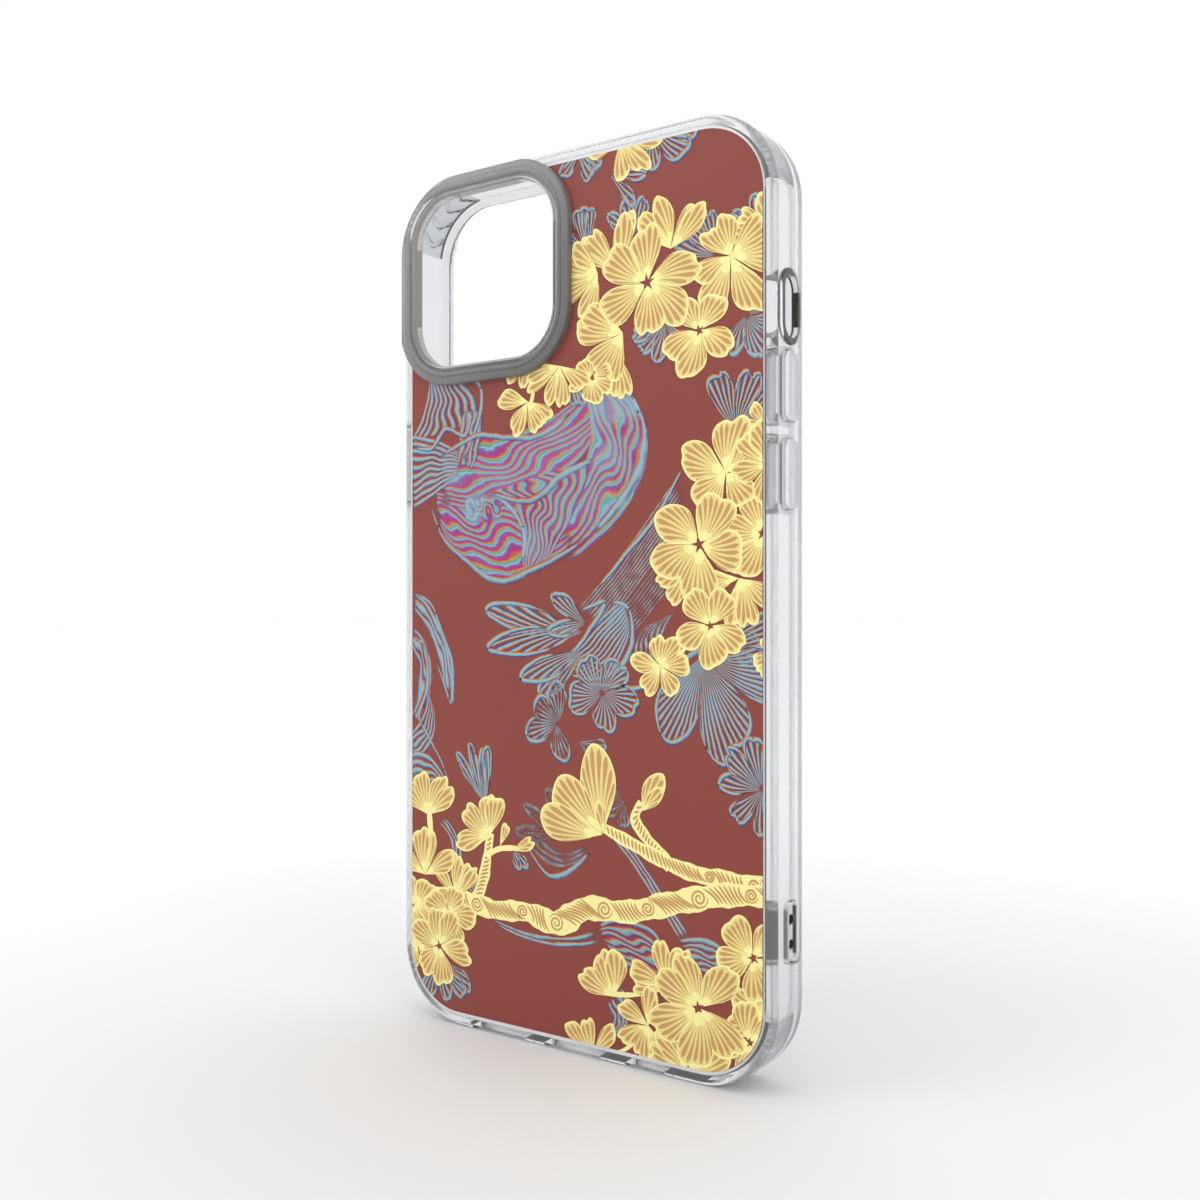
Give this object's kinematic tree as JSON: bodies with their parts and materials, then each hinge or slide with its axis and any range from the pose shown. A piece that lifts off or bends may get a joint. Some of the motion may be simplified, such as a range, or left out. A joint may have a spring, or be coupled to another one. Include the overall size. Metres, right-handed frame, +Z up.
{
  "type": "phone case",
  "caption": "Clear hybrid phone case: soft bumper with pressable button covers, hard printed back plate, raised camera guard and lanyard holes.",
  "frame": {"origin": "middle of the footprint, on the surface the case stands on when it is upright", "axes": "+Z up along the case's height, -Y out of the printed back, +Y out of the open side that the phone goes into, +X to the flank with the volume buttons"},
  "size_m": [0.0844, 0.0126, 0.1667],
  "materials": {
    "clear_tpu": "clear flexible plastic, glossy",
    "cover_tpu": "clear flexible plastic, glossy",
    "clear_pc": "clear hard plastic, polished",
    "cushion_tpu": "clear soft plastic with moulded air notches",
    "white_ink": "flat white printing ink",
    "print_ground": "maroon printing ink under a satin varnish",
    "ink_cream": "cream-yellow printing ink under a satin varnish",
    "ink_tan": "tan printing ink under a satin varnish",
    "ink_ghost": "bluish printing ink with coloured fringes under a satin varnish"
  },
  "bodies": {
    "case": {"bumper_frame": "clear_tpu", "back_plate": "clear_pc", "ink_base": "white_ink", "artwork_print": "print_ground", "camera_guard": "clear_tpu", "mute_slot_frame": "clear_pc", "lanyard_anchor": "clear_pc", "corner_cushion_top_right": "cushion_tpu", "corner_cushion_top_left": "cushion_tpu", "corner_cushion_bottom_left": "cushion_tpu", "corner_cushion_bottom_right": "cushion_tpu"},
    "volume_up": {"volume_up_cover": "cover_tpu"},
    "volume_down": {"volume_down_cover": "cover_tpu"},
    "power": {"power_cover": "cover_tpu"}
  },
  "joints": [
    {"name": "volume_up_press", "type": "slide", "parent": "case", "child": "volume_up", "axis": [-1, 0, 0], "range_m": [0, 0.0004], "stiffness_N_per_m": 400},
    {"name": "volume_down_press", "type": "slide", "parent": "case", "child": "volume_down", "axis": [-1, 0, 0], "range_m": [0, 0.0004], "stiffness_N_per_m": 400},
    {"name": "power_press", "type": "slide", "parent": "case", "child": "power", "axis": [1, 0, 0], "range_m": [0, 0.0004], "stiffness_N_per_m": 400}
  ]
}
